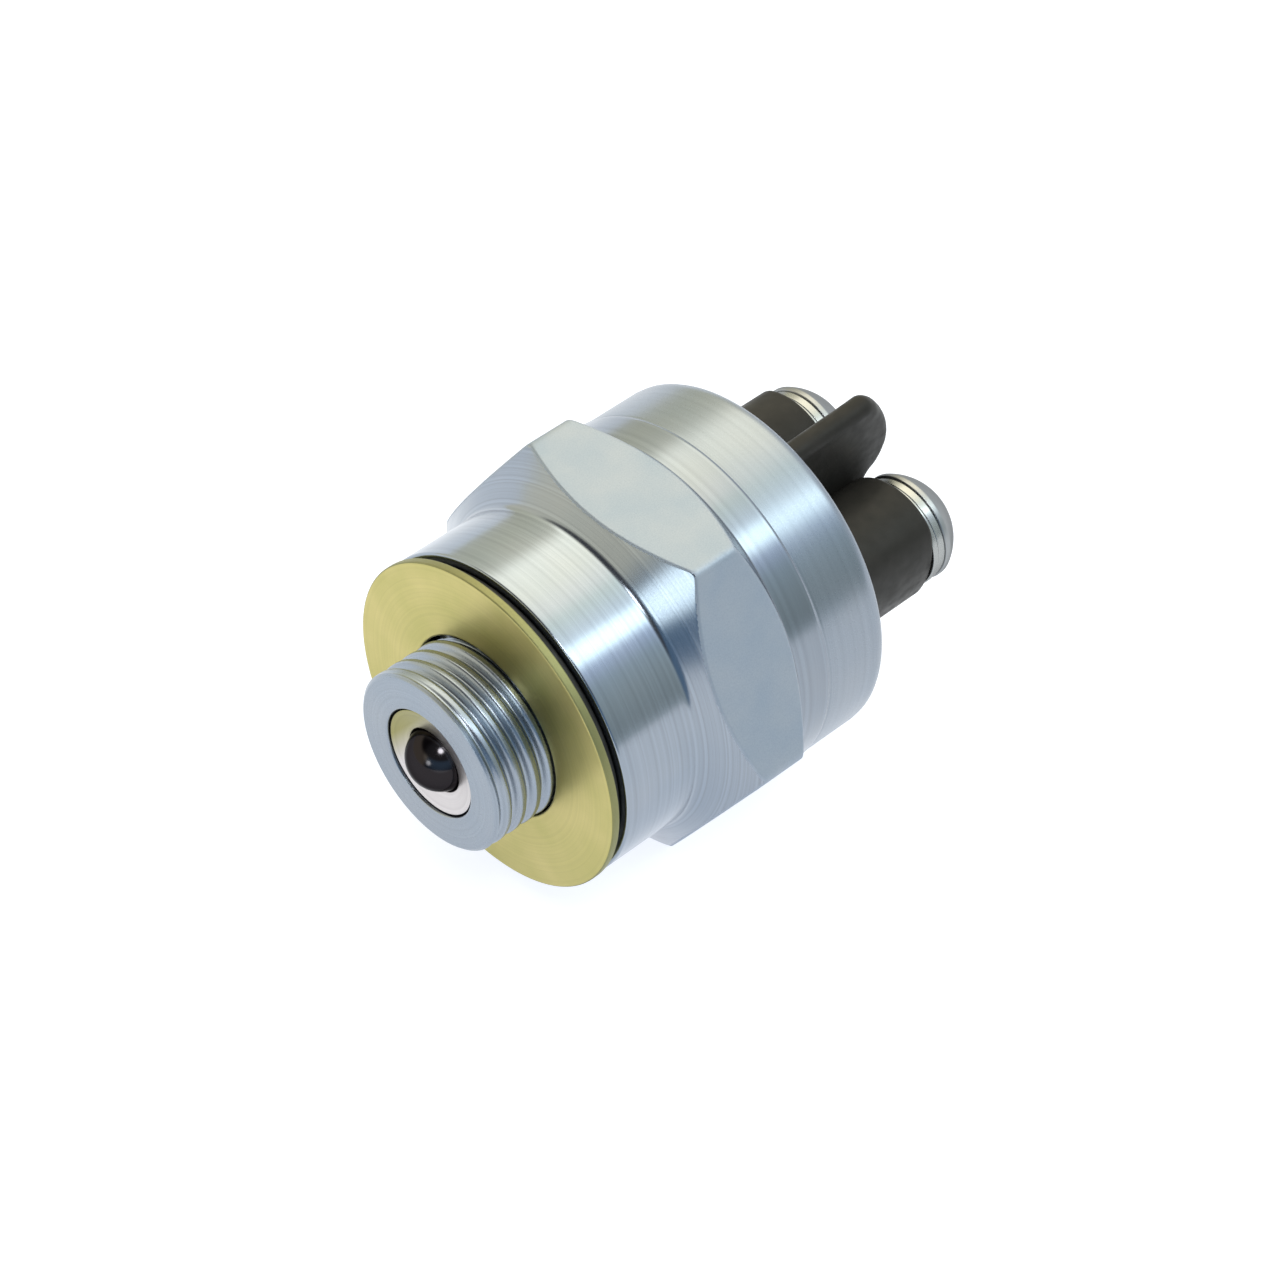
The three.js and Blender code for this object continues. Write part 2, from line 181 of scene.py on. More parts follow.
def revolve(outline, facets, closed=True, radius_at=None, at=(0, 0)):
    """A turned solid about the line y, z = at. The outline's outside runs towards +X.

    radius_at(x, radius, angle) may move each point, the angle being from +Y towards +Z.
    An open outline starts and ends on the axis.
    """
    ends = None if closed else (outline[0][0], outline[-1][0])
    rows = outline if closed else outline[1:-1]
    angle = np.arange(facets) * TURN / facets
    x = np.repeat(rows[:, :1], facets, axis=1)
    radius = np.repeat(rows[:, 1:2], facets, axis=1)
    if radius_at:
        radius = radius_at(x, radius, angle[None, :])
    y = at[0] + radius * np.cos(angle)
    z = at[1] + radius * np.sin(angle)
    points = np.stack([x, y, z], axis=2).reshape(-1, 3)
    faces = grid_faces(len(rows), facets, closed)
    if ends:
        first, last = len(points), len(points) + 1
        points = np.vstack([points, [[ends[0], *at], [ends[1], *at]]])
        final_row = (len(rows) - 1) * facets
        for j in range(facets):
            k = (j + 1) % facets
            faces.append((first, k, j))
            faces.append((last, final_row + j, final_row + k))
    return points, faces


def swept(path, section, tangents):
    """A closed solid: a section of (radial, axial) offsets carried along a path round X."""
    rows = []
    for point, tangent in zip(path, tangents):
        outward = np.array([0, point[1], point[2]])
        outward /= np.linalg.norm(outward)
        across = np.cross(tangent, outward)
        rows.append([point + outward * u + across * v for u, v in section])
    columns = len(section)
    faces = grid_faces(len(rows), columns, closed=False)
    faces.append(tuple(range(columns - 1, -1, -1)))
    faces.append(tuple((len(rows) - 1) * columns + j for j in range(columns)))
    return np.array(rows).reshape(-1, 3), faces


def slab(outline, half, edge, steps):
    """An upright slab in the X-Z plane with rounded edges. The outline runs from +X to +Z."""
    layers = [(-half + edge * (1 - math.cos(t)), edge * (1 - math.sin(t)))
              for t in np.linspace(0, math.pi / 2, steps + 1)]
    layers += [(-y, amount) for y, amount in reversed(layers)]
    points = []
    for y, amount in layers:
        points += [(x, y, z) for x, z in inset(outline, amount)]
    columns = len(outline)
    faces = [tuple(reversed(face)) for face in grid_faces(len(layers), columns, closed=False)]
    faces.append(tuple(range(columns)))
    faces.append(tuple((len(layers) - 1) * columns + j for j in reversed(range(columns))))
    return np.array(points), faces


def make_mesh(name, points, faces, crease=35):
    mesh = bpy.data.meshes.new(name)
    mesh.from_pydata((np.array(points) * MM).tolist(), [], faces)
    mesh.shade_smooth()
    mesh.set_sharp_from_angle(angle=math.radians(crease))
    return mesh


def combined(name, solid, tools, crease=35):
    """A solid joined to or cut by others, each tool being (operation, (points, faces))."""
    base = bpy.data.objects.new(name, make_mesh(name, *solid))
    bpy.context.scene.collection.objects.link(base)
    helpers = []
    for operation, shape in tools:
        helper = bpy.data.objects.new(name + "_tool", make_mesh(name + "_tool", *shape))
        bpy.context.scene.collection.objects.link(helper)
        helpers.append(helper)
        modifier = base.modifiers.new(operation, "BOOLEAN")
        modifier.operation = operation
        modifier.solver = "EXACT"
        modifier.object = helper
    evaluated = base.evaluated_get(bpy.context.evaluated_depsgraph_get())
    mesh = bpy.data.meshes.new_from_object(evaluated)
    for used in [base, *helpers]:
        bpy.data.objects.remove(used)
    welded = bmesh.new()
    welded.from_mesh(mesh)
    bmesh.ops.remove_doubles(welded, verts=welded.verts, dist=WELD)
    bmesh.ops.dissolve_degenerate(welded, edges=welded.edges, dist=WELD)
    bmesh.ops.holes_fill(welded, edges=[edge for edge in welded.edges if edge.is_boundary])
    welded.to_mesh(mesh)
    welded.free()
    mesh.name = name
    mesh.materials.clear()
    mesh.shade_smooth()
    mesh.set_sharp_from_angle(angle=math.radians(crease))
    return mesh


def add_piece(name, mesh, node, slot, *materials):
    """Shows a mesh in place of a CAD node, riding on that node's body."""
    piece = bpy.data.objects.new(name, mesh)
    bpy.context.scene.collection.objects.link(piece)
    for material in materials:
        mesh.materials.append(material)
    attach(piece, frame["nodes"][node]["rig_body"])
    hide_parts(node)
    return piece


# ---------------------------------------------------------------- materials

MARKS_OUTWARDS = 1.7              # a tool's marks outwards from the axis, for each one along it
PAINTED_REFLECTION_SIDE = (0, 0.82, 0.57)      # the way a painted olive reflection lies from the axis
PAINTED_REFLECTION_START, PAINTED_REFLECTION_FULL = 1.2, 3.4    # distances that way at which the painted reflection begins and takes over


class Nodes:
    """A node tree with short ways to add and join nodes."""

    def __init__(self, owner):
        owner.use_nodes = True
        self.tree = owner.node_tree

    def join(self, source, socket):
        """Joins a node's output to a socket, or sets the socket to a plain value."""
        if isinstance(source, bpy.types.NodeSocket):
            self.tree.links.new(source, socket)
        else:
            socket.default_value = source

    def node(self, kind, inputs, output=0, **settings):
        made = self.tree.nodes.new(kind)
        for key, value in settings.items():
            setattr(made, key, value)
        for key, source in inputs.items():
            self.join(source, made.inputs[key])
        return made.outputs[output]

    def math(self, operation, a, b=0.0):
        return self.node("ShaderNodeMath", {0: a, 1: b}, operation=operation)

    def vector(self, operation, a, b, output=0):
        return self.node("ShaderNodeVectorMath", {0: a, 1: b}, output, operation=operation)

    def spread(self, value, low, high, start=0.3, end=0.7, easing="LINEAR"):
        """A value spread over a new range and held inside it."""
        return self.node("ShaderNodeMapRange", {
            "Value": value, "From Min": start, "From Max": end, "To Min": low, "To Max": high},
            interpolation_type=easing)

    def mix(self, share, a, b, blend="MIX"):
        made = self.tree.nodes.new("ShaderNodeMix")
        made.data_type = "RGBA"
        made.blend_type = blend
        self.join(share, made.inputs["Factor"])
        for key, colour in (("A", a), ("B", b)):
            socket = next(s for s in made.inputs if s.name == key and s.type == "RGBA")
            self.join((*colour, 1.0) if isinstance(colour, tuple) else colour, socket)
        return next(s for s in made.outputs if s.type == "RGBA")


class Shader(Nodes):
    """A material's nodes, with textures placed in millimetres on the object."""

    def __init__(self, name):
        self.material = bpy.data.materials.new(name)
        super().__init__(self.material)
        self.surface = self.tree.nodes["Principled BSDF"]
        place = self.tree.nodes.new("ShaderNodeTexCoord")
        self.place = self.vector("MULTIPLY", place.outputs["Object"], (1 / MM,) * 3)

    def noise(self, scale, detail=3.0):
        """Cloudy noise, its scale in bumps per millimetre."""
        return self.node("ShaderNodeTexNoise", {
            "Vector": self.place, "Scale": scale, "Detail": detail, "Roughness": 0.5})

    def lathe_lines(self, scale, at):
        """Noise that only changes along the axis and outwards from it, as a tool's marks do."""
        moved = self.vector("SUBTRACT", self.place, (0, *at))
        split = self.tree.nodes.new("ShaderNodeSeparateXYZ")
        self.join(moved, split.inputs[0])
        flat = self.node("ShaderNodeCombineXYZ", {"Y": split.outputs["Y"], "Z": split.outputs["Z"]})
        radius = self.node("ShaderNodeVectorMath", {0: flat}, "Value", operation="LENGTH")
        along = self.math("MULTIPLY_ADD", radius, MARKS_OUTWARDS)
        self.join(split.outputs["X"], along.node.inputs[2])
        return self.node("ShaderNodeTexNoise", {
            "W": along, "Scale": scale, "Detail": 4.0, "Roughness": 0.6},
            noise_dimensions="1D")

    def bump(self, height, microns, below=None):
        inputs = {"Height": height, "Distance": microns * MM * MM, "Strength": 1.0}
        if below:
            inputs["Normal"] = below
        return self.node("ShaderNodeBump", inputs)

    def finish(self, **sockets):
        for name, source in sockets.items():
            self.join(source, self.surface.inputs[name.replace("_", " ")])
        return self.material


def metal(name, tints, roughness, lines=0.0, line_scale=2.2, shade=0.1, grain=0.0,
          anisotropy=0.0, at=(0, 0), cloud=0.12, edge=1.0, painted_reflection=None):
    """A metal whose tint drifts between two colours, with turned lines and a fine grain.

    lines and grain are heights in microns. shade is how much the lines darken the tint.
    edge is the tint seen at a grazing angle. The tint given last takes over on one side, as a
    painted reflection.
    """
    shader = Shader(name)
    cloud_value = shader.spread(shader.noise(cloud, detail=2.0), 0.0, 1.0)
    tint = shader.mix(cloud_value, *tints)
    # Painted reflection: a second tint takes over on one side of the axis.
    if painted_reflection:
        sideways = shader.vector("DOT_PRODUCT", shader.place, PAINTED_REFLECTION_SIDE, "Value")
        share = shader.spread(sideways, 0.0, 1.0, PAINTED_REFLECTION_START, PAINTED_REFLECTION_FULL)
        tint = shader.mix(share, tint, painted_reflection)
    marks = shader.lathe_lines(line_scale, at)
    darkening = shader.spread(marks, 1.0 - shade, 1.0 + shade * 0.3)
    grey = shader.node("ShaderNodeCombineColor", {0: darkening, 1: darkening, 2: darkening})
    fine = shader.noise(9.0, detail=2.0)
    dull = shader.spread(fine, roughness * 0.88, roughness * 1.12)
    normal = None
    if lines:
        normal = shader.bump(marks, lines)
    if grain:
        normal = shader.bump(fine, grain, normal)
    sockets = {
        "Base_Color": shader.mix(1.0, tint, grey, "MULTIPLY"),
        "Metallic": 1.0,
        "Roughness": dull,
        "Specular_Tint": (edge, edge, edge, 1.0),
    }
    if normal:
        sockets["Normal"] = normal
    if anisotropy:
        sockets["Anisotropic"] = anisotropy
        sockets["Anisotropic_Rotation"] = 0.25
        sockets["Tangent"] = shader.node("ShaderNodeTangent", {}, direction_type="RADIAL", axis="X")
    return shader.finish(**sockets)


def ball_steel():
    """Dark polished bearing steel with a painted sheen: its tint is lighter where the surface is
    seen face on.
    """
    shader = Shader("polished_steel")
    slant = shader.node("ShaderNodeLayerWeight", {"Blend": 0.5}, "Facing")
    # Painted sheen: the tint is lighter within about 14 degrees of face on and darker beyond 31
    # degrees.
    painted_sheen_share = shader.spread(slant, 0.0, 1.0, 0.03, 0.14, "SMOOTHSTEP")
    tint = shader.mix(painted_sheen_share, (0.085, 0.08, 0.085), (0.024, 0.021, 0.023))
    dull = shader.spread(shader.noise(1.4), 0.12, 0.16)
    return shader.finish(Base_Color=tint, Metallic=1.0, Roughness=dull,
                         Specular_Tint=(0.5, 0.5, 0.5, 1.0))


def plastic(name, tints, roughness, grain=4.0, grain_scale=3.0, shine=0.5):
    """A moulded material: mottled tint, uneven gloss and a shallow grain."""
    shader = Shader(name)
    tint = shader.mix(shader.spread(shader.noise(0.6), 0.0, 1.0), *tints)
    grain_value = shader.noise(grain_scale, detail=4.0)
    dull = shader.spread(shader.noise(0.9), roughness * 0.8, roughness * 1.2)
    return shader.finish(
        Base_Color=tint, Roughness=dull, Specular_IOR_Level=shine,
        Normal=shader.bump(grain_value, grain))


def zinc(name, brightness, roughness, **marks):
    """Clear zinc plating, slightly blue."""
    tints = [tuple(brightness * value for value in tint)
             for tint in ((0.25, 0.29, 0.34), (0.28, 0.31, 0.35))]
    return metal(name, tints, roughness, **marks)


ZINC_NOSE = zinc("zinc_nose", 1.12, 0.30, lines=0.6, grain=0.5, shade=0.10)
ZINC_COLLAR = zinc("zinc_collar", 1.08, 0.20, lines=0.6, shade=0.14, anisotropy=0.6)
ZINC_REAR = zinc("zinc_rear_collar", 0.93, 0.22, lines=0.6, shade=0.12, anisotropy=0.6)
ZINC_SKIRT = zinc("zinc_skirt", 1.0, 0.30, lines=1.0, shade=0.10, anisotropy=0.5)
ZINC_FLAT = zinc("zinc_flat", 1.28, 0.58, grain=1.5, shade=0.0, cloud=0.3)
YELLOW_ZINC = metal("yellow_zinc", ((0.54, 0.47, 0.185), (0.45, 0.41, 0.14)), 0.38,
                    lines=0.2, grain=1.5, shade=0.06, cloud=0.22)
YELLOW_RIM = metal("yellow_zinc_rim", ((0.255, 0.25, 0.115), (0.215, 0.215, 0.10)), 0.5, grain=2.0)
SPRING_STEEL = metal("spring_steel", ((0.42, 0.43, 0.45), (0.50, 0.50, 0.50)), 0.3,
                     grain=0.8, shade=0.0)
COPPER = metal("copper", ((0.72, 0.36, 0.22), (0.66, 0.30, 0.18)), 0.32, lines=0.6, shade=0.1)
POLISHED_STEEL = ball_steel()
# The olive tint on one side of the plunger's face is a painted reflection.
PLUNGER_STEEL = metal("plunger_steel", ((0.57, 0.54, 0.54), (0.61, 0.58, 0.58)), 0.34,
                      lines=0.8, grain=0.6, shade=0.12, painted_reflection=(0.30, 0.28, 0.12))
BLACK_RUBBER = plastic("black_rubber", ((0.012, 0.012, 0.012), (0.02, 0.02, 0.02)), 0.62)
NYLON = plastic("natural_nylon", ((0.74, 0.70, 0.60), (0.80, 0.77, 0.68)), 0.45, grain=3.0)
LINER_PLASTIC = plastic("liner_plastic", ((0.20, 0.035, 0.02), (0.26, 0.05, 0.03)), 0.5)
PHENOLIC = plastic("black_phenolic", ((0.021, 0.020, 0.0175), (0.027, 0.025, 0.022)), 0.46,
                   grain=2.5, grain_scale=2.2, shine=0.13)


# ---------------------------------------------------------------- hexagon body

NOSE_END, BODY_END = span("hex_body")
FLAT_R = (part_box("hex_body")[1].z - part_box("hex_body")[0].z) / (2 * MM)
CORNER_R = FLAT_R / math.cos(math.pi / 6) - 0.12
CORNER_START, CORNER_END = 10.76, 15.01     # the corners have their full height between these
CORNER_BLEND = 0.16               # softness of the edges where the turning meets the hexagon
HEXAGON_MIDDLE = 12.0             # the front's finish gives way to the rear's here
REAR_CONE_END, HEXAGON_END = 16.9, 17.0
CONE_RUN = 0.82                   # the front cone's run along the axis for each step outwards
COLLAR_R, COLLAR_END = 14.3, 7.6
REAR_COLLAR_START, REAR_COLLAR_R = 17.05, 15.85
SKIRT_START, SKIRT_R = 20.4, 15.78
LIP_R, LIP_THICKNESS = 13.3, 1.1  # the skirt's lip, rolled over the base
SOCKET_START, SOCKET_R = 16.4, 14.28    # takes the base
CAVITY_START, CAVITY_R = 8.8, 11.0      # takes the contacts
GUIDE_START, GUIDE_R = 1.0, 7.5         # takes the plunger's collar
BORE_R = 4.8
NOSE_CHAMFER = 0.3
RELIEF_R = 7.0                    # the groove between the thread and the front collar
THREAD_R, THREAD_PITCH, THREAD_DEPTH = 7.87, 1.5, 0.55
THREAD_START, THREAD_END = NOSE_END + 0.1, -1.0
THREAD_RUN_IN, THREAD_RUN_OUT = 0.9, 0.3    # lengths in which it deepens and fades
THREAD_PHASE = -5.46              # where a crest crosses the +Y side
CREST_SHARE, FLANK_SHARE = 0.25, 0.7    # of the way from a crest to the next root
BODY_FACETS = 720
FINE_STEP = 0.1                   # spacing of the rings of points on the thread and hexagon


def thread(x, angle, major, pitch, depth, phase):
    """Radius of a right-hand thread with flat crests and rounded roots."""
    turn = ((x - phase) / pitch - angle / TURN) % 1
    from_crest = 1 - np.abs(2 * turn - 1)
    return major - depth * smooth_step((from_crest - CREST_SHARE) / FLANK_SHARE)


def body_radius(x, radius, angle):
    """The turned outline, trimmed by the hexagon and cut by the nose thread."""
    hexagon = FLAT_R / np.cos(angle % (math.pi / 3) - math.pi / 6)
    trimmed = smooth_min(radius, hexagon, CORNER_BLEND)
    run_in = smooth_step((x - THREAD_START) / THREAD_RUN_IN)
    run_out = smooth_step((THREAD_END - x) / THREAD_RUN_OUT)
    depth = THREAD_DEPTH * run_in * run_out
    threaded = thread(x, angle, THREAD_R, THREAD_PITCH, depth, THREAD_PHASE)
    on_nose = (radius > (BORE_R + THREAD_R) / 2) & (x < THREAD_END)
    return np.where(on_nose, np.minimum(radius, threaded), trimmed)


def build_body():
    """The hexagon body, with the turned stretches and the hexagon's faces finished apart."""
    cone_front = COLLAR_END + (FLAT_R - COLLAR_R) * CONE_RUN
    lip_front = BODY_END - LIP_THICKNESS
    outline = [
        (NOSE_END, BORE_R, 0.2),
        (NOSE_END, THREAD_R - NOSE_CHAMFER),
        (NOSE_END + NOSE_CHAMFER, THREAD_R, 0.05),
        (THREAD_END - THREAD_RUN_OUT, THREAD_R, 0),
        (THREAD_END, RELIEF_R, 0),
        (0, RELIEF_R, 0.2),
        (0, COLLAR_R, 0.25),
        (COLLAR_END, COLLAR_R, 0.4),
        (cone_front, FLAT_R, 0),
        (CORNER_START, CORNER_R, 0.3),
        (CORNER_END, CORNER_R, 0.3),
        (REAR_CONE_END, FLAT_R, 0),
        (REAR_COLLAR_START, REAR_COLLAR_R, 0.2),
        (SKIRT_START - 0.2, REAR_COLLAR_R, 0.15),
        (SKIRT_START, SKIRT_R - 0.03, 0.15),
        (SKIRT_START + 0.2, SKIRT_R, 0.15),
        (BODY_END, SKIRT_R, 1.0),
        (BODY_END, LIP_R, 0.35),
        (lip_front, LIP_R),
        (lip_front, SOCKET_R),
        (SOCKET_START, SOCKET_R),
        (SOCKET_START, CAVITY_R),
        (CAVITY_START, CAVITY_R),
        (CAVITY_START, GUIDE_R),
        (GUIDE_START, GUIDE_R),
        (GUIDE_START, BORE_R),
    ]
    fine = refined(rounded(outline, 0.12), FINE_STEP, COLLAR_END, HEXAGON_END)
    fine = refined(fine, FINE_STEP, NOSE_END + 0.05, THREAD_END)
    points, faces = revolve(fine, BODY_FACETS, radius_at=body_radius)
    mesh = make_mesh("zinc_body", points, faces, crease=50)
    mesh.polygons.foreach_set("material_index", body_finishes(fine))
    return mesh


def body_finishes(outline):
    """Each face's place in BODY_FINISHES, going round the body ring by ring."""
    x, radius = outline[:, 0], outline[:, 1]
    middle = (x + np.roll(x, -1)) / 2
    turned_r = (radius + np.roll(radius, -1)) / 2
    angle = (np.arange(BODY_FACETS) + 0.5) * TURN / BODY_FACETS
    hexagon = FLAT_R / np.cos(angle % (math.pi / 3) - math.pi / 6)
    finish = np.select(
        [middle < THREAD_END, middle < HEXAGON_MIDDLE, middle < SKIRT_START], [0, 1, 2], 3)
    finish = np.repeat(finish[:, None], BODY_FACETS, axis=1)
    on_hexagon = (middle > COLLAR_END) & (middle < HEXAGON_END)
    trimmed = turned_r[:, None] > hexagon[None, :] - CORNER_BLEND
    finish[on_hexagon[:, None] & trimmed] = 4
    return finish.ravel().astype(np.int32)


BODY_FINISHES = (ZINC_NOSE, ZINC_COLLAR, ZINC_REAR, ZINC_SKIRT, ZINC_FLAT)
add_piece("zinc_body", build_body(), "hex_body", "zinc_plated_steel", *BODY_FINISHES)


# ---------------------------------------------------------------- flat rings

def flat_ring(name, node, slot, materials, inner, outer, edge, facets=180, at=(0, 0)):
    """A plain ring between the node's two faces, its edges rounded.

    A second material is for the rim of a ring on the switch's own axis.
    """
    start, end = span(node)
    outline = rounded([(start, inner), (start, outer), (end, outer), (end, inner)], edge)
    mesh = make_mesh(name, *revolve(outline, facets, at=at))
    if len(materials) > 1:
        for face in mesh.polygons:
            on_rim = math.hypot(face.center.y, face.center.z) > (outer - edge / 2) * MM
            face.material_index = int(on_rim)
    add_piece(name, mesh, node, slot, *materials)


flat_ring("yellow_washer", "seat_washer", "yellow_zinc_steel", [YELLOW_ZINC, YELLOW_RIM],
          inner=8.02, outer=14.42, edge=0.16, facets=240)
flat_ring("rubber_seal", "seal_ring", "black_rubber", [BLACK_RUBBER],
          inner=8.5, outer=13.6, edge=0.25)
flat_ring("rubber_gasket", "base_gasket", "black_rubber", [BLACK_RUBBER],
          inner=11.2, outer=14.08, edge=0.2)


# ---------------------------------------------------------------- ball and plunger

BALL_R = 2.78
PLUNGER_R = BORE_R - 0.15
PLUNGER_DISH = -6.9               # where its dished face meets the ball's pocket
PLUNGER_COLLAR_R = 7.2            # too wide for the nose's bore, so it keeps the plunger in
PLUNGER_COLLAR_START, PLUNGER_COLLAR_END = 1.2, 2.4
STEM_R = 2.4
GROOVE_START, GROOVE_END = -3.05, -1.65
O_RING_R = 0.57
O_RING_MEAN_R = BORE_R - 0.05 - O_RING_R
GROOVE_R = O_RING_MEAN_R - O_RING_R - 0.05


def build_ball():
    first, last = span("ball")
    middle = (first + last) / 2
    outline = np.array(arc((middle, 0), BALL_R, math.pi, 0, 60))
    return make_mesh("steel_ball", *revolve(outline, 120, closed=False))


def build_plunger():
    """The sliding plunger. Its front lip is closed round the ball, which it keeps in its pocket."""
    front, back = span("plunger")
    ball_middle = sum(span("ball")) / 2
    pocket = ball_middle + BALL_R + 0.05
    outline = [
        (pocket, 0),
        (pocket, BALL_R + 0.07, 0.3),
        (PLUNGER_DISH, BALL_R + 0.03, 0.12),
        (front, PLUNGER_R, 0.12),
        (GROOVE_START, PLUNGER_R),
        (GROOVE_START, GROOVE_R),
        (GROOVE_END, GROOVE_R),
        (GROOVE_END, PLUNGER_R),
        (PLUNGER_COLLAR_START, PLUNGER_R, 0),
        (PLUNGER_COLLAR_START, PLUNGER_COLLAR_R, 0.2),
        (PLUNGER_COLLAR_END, PLUNGER_COLLAR_R, 0.2),
        (PLUNGER_COLLAR_END, STEM_R, 0.2),
        (back, STEM_R, 0.3),
        (back, 0),
    ]
    outline = rounded(outline, 0.08, closed=False)
    return make_mesh("ball_plunger", *revolve(outline, 128, closed=False))


def build_o_ring():
    first, last = span("plunger_o_ring")
    middle = (first + last) / 2
    outline = np.array(arc((middle, O_RING_MEAN_R), O_RING_R, math.pi, -math.pi, 24)[:-1])
    return make_mesh("plunger_seal", *revolve(outline, 128))


def build_pusher():
    """The insulating pusher: a sleeve round the stem, a flange, a spring spigot and a guide pin."""
    front, back = span("pusher")
    socket_end, socket_r = 6.25, STEM_R + 0.05
    flange_start, flange_end, flange_r = 6.5, 8.0, 6.6
    spigot_end, spigot_r = 8.9, 2.3
    sleeve_r, pin_r = 4.2, 1.5
    outline = [
        (socket_end, 0),
        (socket_end, socket_r),
        (front, socket_r),
        (front, sleeve_r, 0.3),
        (flange_start, sleeve_r, 0.3),
        (flange_start, flange_r, 0.3),
        (flange_end, flange_r, 0.3),
        (flange_end, spigot_r, 0.2),
        (spigot_end, spigot_r, 0.3),
        (spigot_end, pin_r),
        (back, pin_r, 0.5),
        (back, 0),
    ]
    outline = rounded(outline, 0.15, closed=False)
    return make_mesh("nylon_pusher", *revolve(outline, 96, closed=False))


add_piece("steel_ball", build_ball(), "ball", "polished_steel", POLISHED_STEEL)
add_piece("ball_plunger", build_plunger(), "plunger", "plain_steel", PLUNGER_STEEL)
add_piece("plunger_seal", build_o_ring(), "plunger_o_ring", "black_rubber", BLACK_RUBBER)
add_piece("nylon_pusher", build_pusher(), "pusher", "nylon", NYLON)


# ---------------------------------------------------------------- bridge, springs and liner

def build_bridge():
    """The contact disc, with a hole for the pusher's pin."""
    start, end = span("contact_bridge")
    hole_r, rim_r = 1.7, 8.0
    outline = [
        (start, hole_r, 0.15),
        (start, rim_r, 0.25),
        (end, rim_r, 0.25),
        (end, hole_r, 0.15),
    ]
    return make_mesh("copper_bridge", *revolve(rounded(outline, 0), 128))


def build_spring(name, node, mean_r, wire_r, turns):
    """A compression spring whose first and last turns lie closed."""
    start, end = span(node)
    per_turn, sides = 40, 12
    turn = np.linspace(0, turns, turns * per_turn + 1)
    first, last = start + wire_r, end - wire_r
    closed_lead = 2.1 * wire_r
    x = np.interp(
        turn, [0, 1, turns - 1, turns], [first, first + closed_lead, last - closed_lead, last])
    angle = turn * TURN
    path = np.stack([x, mean_r * np.sin(angle), mean_r * np.cos(angle)], axis=1)
    tangents = np.gradient(path, axis=0)
    tangents /= np.linalg.norm(tangents, axis=1)[:, None]
    section = [(wire_r * math.cos(a), wire_r * math.sin(a))
               for a in np.arange(sides) * TURN / sides]
    return make_mesh(name, *swept(path, section, tangents))


def build_liner():
    """A cup with a wide hole in its bottom, which lines the cavity."""
    front, back = span("insulating_liner")
    hole_r, outer_r, wall = 7.7, CAVITY_R - 0.05, 0.8
    outline = [
        (front, hole_r),
        (front, outer_r, 0.3),
        (back, outer_r),
        (back, outer_r - wall),
        (front + wall, outer_r - wall, 0.3),
        (front + wall, hole_r),
    ]
    return make_mesh("red_liner", *revolve(rounded(outline, 0.15), 128))


add_piece("copper_bridge", build_bridge(), "contact_bridge", "copper", COPPER)
add_piece("red_liner", build_liner(), "insulating_liner", "liner_plastic", LINER_PLASTIC)

# Name, node, mean radius, wire radius, turns, the joint that squashes it and by how much.
SPRINGS = (
    ("overtravel_coil", "overtravel_spring", 2.95, 0.35, 5, "ball_press", 0.5),
    ("return_coil", "return_spring", 2.3, 0.3, 7, "bridge_travel", 1.0),
)
for name, node, mean_r, wire_r, turns, joint, shortening in SPRINGS:
    coil = build_spring(name, node, mean_r, wire_r, turns)
    piece = add_piece(name, coil, node, "spring_steel", SPRING_STEEL)
    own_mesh(piece)


# ---------------------------------------------------------------- moulded base

TERMINAL = centre("clamp_washer_left")
BASE_TURN = math.atan2(TERMINAL[1], TERMINAL[0])
TERMINAL_Y = math.hypot(*TERMINAL)
BASE_FRONT = span("terminal_base")[0]
FLANGE_END, FLANGE_R = 25.65, 14.18     # the flange is held under the skirt's lip
PLATE_END, PLATE_R = 26.3, 13.2
BOSS_START, BOSS_END = 24.5, span("clamp_washer_left")[0] - 0.05
BOSS_R, TURRET_R = 5.5, 10.5      # neither boss reaches past the turret's circle
STUD_BORE_END, STUD_BORE_R = 27.0, 2.25
COLLAR_BORE_START, COLLAR_BORE_R = 25.95, 3.85
SPRING_POCKET_END, SPRING_POCKET_R = 22.5, 2.8
BARRIER_HALF, BARRIER_ROUNDING = 1.05, 0.98
BARRIER_ROOT = (24.6, 10.65)      # in (x, z), as the rest of the wall's outline
BARRIER_EDGE = (                  # from the wall's top to the middle of its rear end
    (36.5, 11.3), (38.1, 11.45), (39.05, 10.7), (39.95, 9.5), (40.65, 8.3), (41.15, 7.15),
    (41.45, 6.1), (41.55, 5.0), (41.3, 3.7), (40.75, 2.6), (40.0, 2.0), (39.7, 1.0),
)


def boss(side):
    """A round terminal boss, trimmed where it would reach past the turret."""
    def boss_radius(x, radius, angle):
        y = side * TERMINAL_Y
        across = y * np.cos(angle)
        reach = -across + np.sqrt(across ** 2 + TURRET_R ** 2 - y ** 2)
        return smooth_min(radius, reach - (BOSS_R - radius), 0.5)

    outline = [(BOSS_START, 0), (BOSS_START, BOSS_R), (BOSS_END, BOSS_R, 0.3), (BOSS_END, 0)]
    return revolve(rounded(outline, 0, closed=False, steps=5), 128, closed=False,
                   radius_at=boss_radius, at=(side * TERMINAL_Y, 0))


def barrier():
    """The wall between the terminals: fully rounded edges, and a dip across its rear end."""
    half = [*reversed(BARRIER_EDGE), BARRIER_ROOT]
    mirrored = [(x, -z) for x, z in reversed(half)]
    outline = rounded([*mirrored, *half], 0.6)
    return slab(outline, BARRIER_HALF, BARRIER_ROUNDING, steps=8)


def bore(start, end, radius, at=(0, 0)):
    """A cutting tool for a round hole."""
    outline = np.array([(start, 0), (start, radius), (end, radius), (end, 0)])
    return "DIFFERENCE", revolve(outline, 64, closed=False, at=at)


